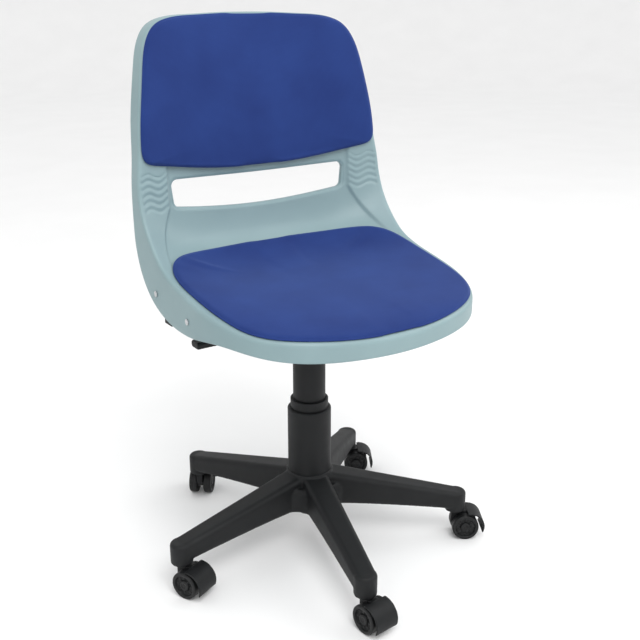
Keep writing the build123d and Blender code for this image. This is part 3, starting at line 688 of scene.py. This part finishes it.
def pad_form(x, t, middle_t, shrink):
    """Closed crowned form on the seating surface: (verts, faces, index of the first underside point)."""
    hx, ht = even_outline(x, t, 76)
    ox = np.concatenate([hx, -hx[::-1][1:-1]])
    ot = np.concatenate([ht, ht[::-1][1:-1]])
    edge = surface(ox, ot)
    spine_t = np.interp(ot, [ot.min(), ot.max()], [ot.min() + middle_t, ot.max() - middle_t])
    spine = surface(np.zeros_like(ox), spine_t)
    reach = np.linalg.norm(edge - spine, axis=1)
    steps = [0.0, 0.6, 1.8, 3.8, 6.8, 11.0, 17.0, 25.0, 35.0, 47.0, 60.0]
    top_rings = []
    low_rings = []

    def at(lam, lift):
        u = ox * lam
        v = spine_t + (ot - spine_t) * lam
        return surface(u, v) + normal(u, v) * lift

    for d in steps:
        lam = 1 - (d + shrink) / reach
        swell = math.sqrt(max(0.0, 1 - (1 - min(d / PAD_ROLL, 1.0)) ** 2))
        crown = PAD_CROWN * (1 - math.exp(-d / 24.0))
        top_rings.append(at(lam, 2.8 + (PAD_EDGE - 2.8) * swell + crown))
        low_rings.append(at(1 - (d + 0.7 + shrink) / reach, 0.8 + (PAD_LOW - 0.8) * smooth(1.0, 7.0, d)))
    for f in np.linspace(0, 1, 10)[1:]:
        lam = (1 - (steps[-1] + shrink) / reach) * (1 - f)
        top_rings.append(at(lam, PAD_EDGE + PAD_CROWN * (1 - math.exp(-60.0 / 24.0) * (1 - f))))
        low_rings.append(at(lam, PAD_LOW))
    verts, faces = loft_rings([ring * MM for ring in top_rings[::-1] + low_rings])
    return verts, faces, (len(top_rings) - 1) * len(ox)


def evaluated_mesh(obj):
    bpy.context.view_layer.update()
    return bpy.data.meshes.new_from_object(obj.evaluated_get(bpy.context.evaluated_depsgraph_get()))


def bake_modifiers(obj):
    result = evaluated_mesh(obj)
    obj.modifiers.clear()
    old = obj.data
    obj.data = result
    bpy.data.meshes.remove(old)


def coordinates(mesh):
    flat = np.empty(len(mesh.vertices) * 3)
    mesh.vertices.foreach_get("co", flat)
    return flat.reshape(-1, 3)


def stuffed_pad(name, form, node):
    """Cushion: the form swollen by cloth pressure with its underside held on the board."""
    verts, faces, underside = form
    obj = make_object(name, verts, faces, FABRIC, None)
    start = coordinates(obj.data)
    held = obj.vertex_groups.new(name="held")
    held.add(list(range(underside, len(verts))), 1.0, "REPLACE")
    cloth = obj.modifiers.new("cloth", "CLOTH")
    cloth.settings.use_pressure = True
    cloth.settings.uniform_pressure_force = PAD_PRESSURE
    cloth.settings.vertex_group_mass = "held"
    cloth.settings.effector_weights.gravity = 0.0
    cloth.settings.quality = 3
    cloth.settings.tension_stiffness = 12.0
    cloth.settings.bending_stiffness = 2.0
    cloth.point_cache.frame_start = 1
    cloth.point_cache.frame_end = CLOTH_FRAMES
    for moment in range(1, CLOTH_FRAMES + 1):
        bpy.context.scene.frame_set(moment)
    puffed = coordinates(evaluated_mesh(obj))
    obj.modifiers.clear()
    shift = puffed - start
    length = np.linalg.norm(shift, axis=1, keepdims=True)
    most = SWELL_CAP * MM
    shift = shift * (most * np.tanh(length / most) / np.maximum(length, 1e-9))
    obj.data.vertices.foreach_set("co", (start + shift).ravel())
    obj.data.update()
    bpy.context.scene.frame_set(1)
    bm = bmesh.new()
    bm.from_mesh(obj.data)
    bmesh.ops.remove_doubles(bm, verts=bm.verts, dist=0.00003)
    bmesh.ops.holes_fill(bm, edges=[e for e in bm.edges if e.is_boundary])
    bmesh.ops.recalc_face_normals(bm, faces=bm.faces)
    bm.to_mesh(obj.data)
    bm.free()
    middle = obj.vertex_groups.new(name="middle")
    middle.add([v.index for v in obj.data.vertices if abs(v.co.x) < CALM_REACH], 1.0, "REPLACE")
    calm = obj.modifiers.new("calm", "SMOOTH")
    calm.factor = 0.5
    calm.iterations = 30
    calm.vertex_group = "middle"
    finer = obj.modifiers.new("finer", "SUBSURF")
    finer.levels = 2
    finer.render_levels = 2
    bake_modifiers(obj)
    obj.data.shade_smooth()
    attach(obj, "seat")
    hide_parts(node)
    return obj


def thin_board(name, x, t, middle_t, node):
    """Moulded board under a pad, just inside its outline."""
    hx, ht = even_outline(x, t, 120)
    ox = np.concatenate([hx, -hx[::-1][1:-1]])
    ot = np.concatenate([ht, ht[::-1][1:-1]])
    spine = np.interp(ot, [ot.min(), ot.max()], [ot.min() + middle_t, ot.max() - middle_t])
    reach = np.linalg.norm(surface(ox, ot) - surface(np.zeros_like(ox), spine), axis=1)
    rings = []
    section = [(None, k, BOARD_LOW) for k in np.linspace(0, 1, 12)[:-1]]
    edge = (
        (BOARD_CORE, BOARD_LOW), (11.0, BOARD_LOW), (10.0, 1.0), (9.6, 1.8), (10.2, 2.6), (12.0, BOARD_HIGH),
        (BOARD_CORE, BOARD_HIGH),
    )
    section += [(inset, 0, lift) for inset, lift in edge]
    section += [(None, k, BOARD_HIGH) for k in np.linspace(1, 0, 12)[1:]]
    for inset, k, lift in section:
        lam = (1 - BOARD_CORE / reach) * k if inset is None else 1 - inset / reach
        v = spine + (ot - spine) * lam
        rings.append((surface(ox * lam, v) + normal(ox * lam, v) * lift) * MM)
    board = make_object(name, *loft_rings(rings), BOARD, "seat", "board")
    fix_normals(board)
    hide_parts(node)


thin_board("seat_board", seat_half_x, seat_half_t, SEAT_SPINE, "seat_pad_board")
thin_board("back_board", back_half[:, 0], back_half_t, BACK_SPINE, "back_pad_board")
stuffed_pad("seat_cushion", pad_form(seat_half_x, seat_half_t, SEAT_SPINE, PAD_SHRINK), "seat_pad")
stuffed_pad("back_cushion", pad_form(back_half[:, 0], back_half_t, BACK_SPINE, PAD_SHRINK), "back_pad")


# ------------------------------------------------------------------ base and casters
FIRST_SPOKE = -104.5
SPOKE_STEP = 72.0
WEB_REACH = 59.0           # reach of the hub's web midway between two spokes
WEB_GAIN = 45.0            # what it gains on the way to a spoke
WEB_CURVE = 2.2
WEB_INNER = 36.0
WEB_BOTTOM = 82.0
WEB_TOP = 128.0
BASE_VOXEL = 0.0016
GRIP_VOXEL = 0.0007
HOUSING_VOXEL = 0.0008


def softened(node, voxel, passes, material, body, extra=None):
    """Copy of a CAD solid, joined with an extra closed form, with every edge melted to a moulded radius."""
    source = frame["nodes"][node]
    obj = bpy.data.objects.new(node + "_moulded", source.data.copy())
    bpy.context.scene.collection.objects.link(obj)
    if extra is not None:
        added = make_object("added", *extra, None, None)
        fix_normals(added)
        bm = bmesh.new()
        bm.from_mesh(obj.data)
        bm.from_mesh(added.data)
        bm.to_mesh(obj.data)
        bm.free()
        bpy.data.objects.remove(added)
    remesh = obj.modifiers.new("remesh", "REMESH")
    remesh.mode = "VOXEL"
    remesh.voxel_size = voxel
    melt = obj.modifiers.new("melt", "SMOOTH")
    melt.factor = 0.5
    melt.iterations = passes
    bake_modifiers(obj)
    obj.data.materials.clear()
    obj.data.materials.append(material)
    obj.data.shade_smooth()
    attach(obj, body)
    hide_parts(node)
    return obj


def hub_web():
    """Web round the hub, curving in between neighbouring spokes."""
    outline = []
    for i in range(5):
        here = math.radians(FIRST_SPOKE + SPOKE_STEP * i)
        for k in range(12):
            turn = math.radians(SPOKE_STEP) * k / 12
            swing = abs(turn / math.radians(SPOKE_STEP / 2) - 1.0)
            reach = WEB_REACH + WEB_GAIN * swing ** WEB_CURVE
            outline.append((reach * math.cos(here + turn), reach * math.sin(here + turn)))
    rings = []
    for k, z in ((0.94, WEB_BOTTOM), (1.0, 86.0), (1.0, 120.0), (0.93, WEB_TOP)):
        rings.append([(x * k * MM, y * k * MM, z * MM) for x, y in outline])
    for z in (WEB_TOP, WEB_BOTTOM):
        ring = []
        for x, y in outline:
            way = math.atan2(y, x)
            ring.append((WEB_INNER * math.cos(way) * MM, WEB_INNER * math.sin(way) * MM, z * MM))
        rings.append(ring)
    return loft_rings(rings + [rings[0]])


softened("five_star_base", BASE_VOXEL, 6, NYLON, "base", hub_web())
softened("lever_grip", GRIP_VOXEL, 3, NYLON, "lever")

NAMES = ["front", "front_right", "rear_right", "rear_left", "front_left"]
HEADING = [-85.0, -65.0, 50.0, -32.0, -32.0]
PIN_CIRCLE = 275.0
TRAIL = 19.0
WHEEL_R = 25.0
WHEEL_SIDES = 96
FACE_RIB = 1.9             # how far the ribs stand out of the wheel's sunk face
# Wheel profile from the bore outwards: (distance from the caster's middle, radius).
WHEEL_PROFILE = [
    (6.6, 4.2), (6.6, 22.6), (6.9, 24.0), (7.8, 24.8), (9.4, 25.0), (13.6, 25.0), (14.4, 24.7),
    (15.2, 25.0), (19.4, 25.0), (21.2, 24.7), (22.2, 23.9), (22.5, 22.6), (22.5, 19.4), (22.2, 18.8),
    (21.4, 18.4), (19.0, 17.9), (18.2, 17.2), (18.0, 16.2), (18.0, 11.0), (18.3, 10.0), (20.2, 9.4),
    (21.3, 9.0), (21.9, 8.2), (22.1, 7.0), (22.0, 5.4), (21.5, 4.2),
]


def wheel_mesh(sign):
    """One caster wheel in the caster's own axes: a shallow groove round the tread and eight face ribs."""
    rings = []
    for off, radius in WHEEL_PROFILE:
        ring = []
        for k in range(WHEEL_SIDES):
            a = 2 * math.pi * k / WHEEL_SIDES
            depth = off
            if 10.5 < radius < 17.5 and off < 18.5:
                depth = off + FACE_RIB * smooth(0.78, 0.98, abs(math.cos(4 * a)))
            ring.append((TRAIL + radius * math.cos(a), sign * depth, WHEEL_R + radius * math.sin(a)))
        rings.append(ring)
    return loft_rings(rings + [rings[0]])


for i, name in enumerate(NAMES):
    angle = math.radians(FIRST_SPOKE - i * SPOKE_STEP)
    turn = math.radians(HEADING[i])
    softened("caster_housing_" + name, HOUSING_VOXEL, 3, NYLON, "caster_" + name)
    for letter, sign in (("a", -1), ("b", 1)):
        points, faces = wheel_mesh(sign)
        placed = []
        for x, y, z in points:
            at_x = PIN_CIRCLE * math.cos(angle) + x * math.cos(turn) - y * math.sin(turn)
            at_y = PIN_CIRCLE * math.sin(angle) + x * math.sin(turn) + y * math.cos(turn)
            placed.append((at_x * MM, at_y * MM, z * MM))
        node = "wheel_" + letter + "_" + name
        wheel = make_object(node + "_turned", placed, faces, WHEEL, node, "wheel_nylon")
        fix_normals(wheel)
        wheel.data.set_sharp_from_angle(angle=math.radians(40))
        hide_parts(node)

# ------------------------------------------------------------------ floor, light and camera
floor_material, nodes, links, bsdf = new_material("floor_pale")
coords = nodes.new("ShaderNodeTexCoord").outputs["Object"]
haze = add_noise(nodes, links, coords, 3.0)
pale = ramp(nodes, links, haze, [(0.3, (0.88, 0.88, 0.88)), (0.7, (0.9, 0.9, 0.9))])
links.new(pale, bsdf.inputs["Base Color"])
bsdf.inputs["Roughness"].default_value = 0.85
# A round studio floor that curves up into a low wall, in metres.
FLOOR_REACH = 9.0
WALL_CURVE = 3.0
WALL_TOP = 4.5
FLOOR_SIDES = 64
floor_profile = [(4.0, 0.0), (FLOOR_REACH, 0.0)]
for k in range(1, 13):
    bend = math.pi / 2 * k / 12
    floor_profile.append((FLOOR_REACH + WALL_CURVE * math.sin(bend), WALL_CURVE * (1 - math.cos(bend))))
floor_profile.append((FLOOR_REACH + WALL_CURVE, WALL_TOP))
floor_rings = []
for reach, rise in floor_profile:
    ring = []
    for k in range(FLOOR_SIDES):
        way = 2 * math.pi * k / FLOOR_SIDES
        ring.append((reach * math.cos(way), reach * math.sin(way), rise))
    floor_rings.append(ring)
floor_verts, floor_faces = loft_rings(floor_rings)
floor_faces.append(tuple(range(FLOOR_SIDES - 1, -1, -1)))
floor = make_object("floor", floor_verts, floor_faces, floor_material, None)

world = bpy.data.worlds.new("studio")
bpy.context.scene.world = world
world.use_nodes = True
world.node_tree.nodes["Background"].inputs["Color"].default_value = (1.0, 1.0, 1.0, 1.0)
world.node_tree.nodes["Background"].inputs["Strength"].default_value = 1.0


def area_light(name, place, target, size, power):
    data = bpy.data.lights.new(name, "AREA")
    data.size = size
    data.energy = power
    lamp = bpy.data.objects.new(name, data)
    lamp.location = place
    lamp.rotation_euler = (Vector(target) - Vector(place)).to_track_quat("-Z", "Y").to_euler()
    bpy.context.scene.collection.objects.link(lamp)


LIGHT_TARGET = (0, 0, 0.6)
area_light("key", (-0.6, -1.9, 3.2), LIGHT_TARGET, 1.8, 60.0)
area_light("fill", (2.6, -1.0, 2.2), LIGHT_TARGET, 2.0, 25.0)

# The camera's place in metres, how far it looks down and how far it is turned to +X, in degrees.
CAMERA_PLACE = (-0.8437, -1.2745, 0.9657)
CAMERA_DOWN = 19.103
CAMERA_TURN = 34.231
LENS = 51.8
SENSOR = 36.0

camera_data = bpy.data.cameras.new("camera")
camera_data.lens = LENS
camera_data.sensor_width = SENSOR
camera = bpy.data.objects.new("camera", camera_data)
camera.location = CAMERA_PLACE
camera.rotation_euler = (math.radians(90 - CAMERA_DOWN), 0.0, -math.radians(CAMERA_TURN))
bpy.context.scene.collection.objects.link(camera)
bpy.context.scene.camera = camera
bpy.context.scene.view_settings.view_transform = "Standard"
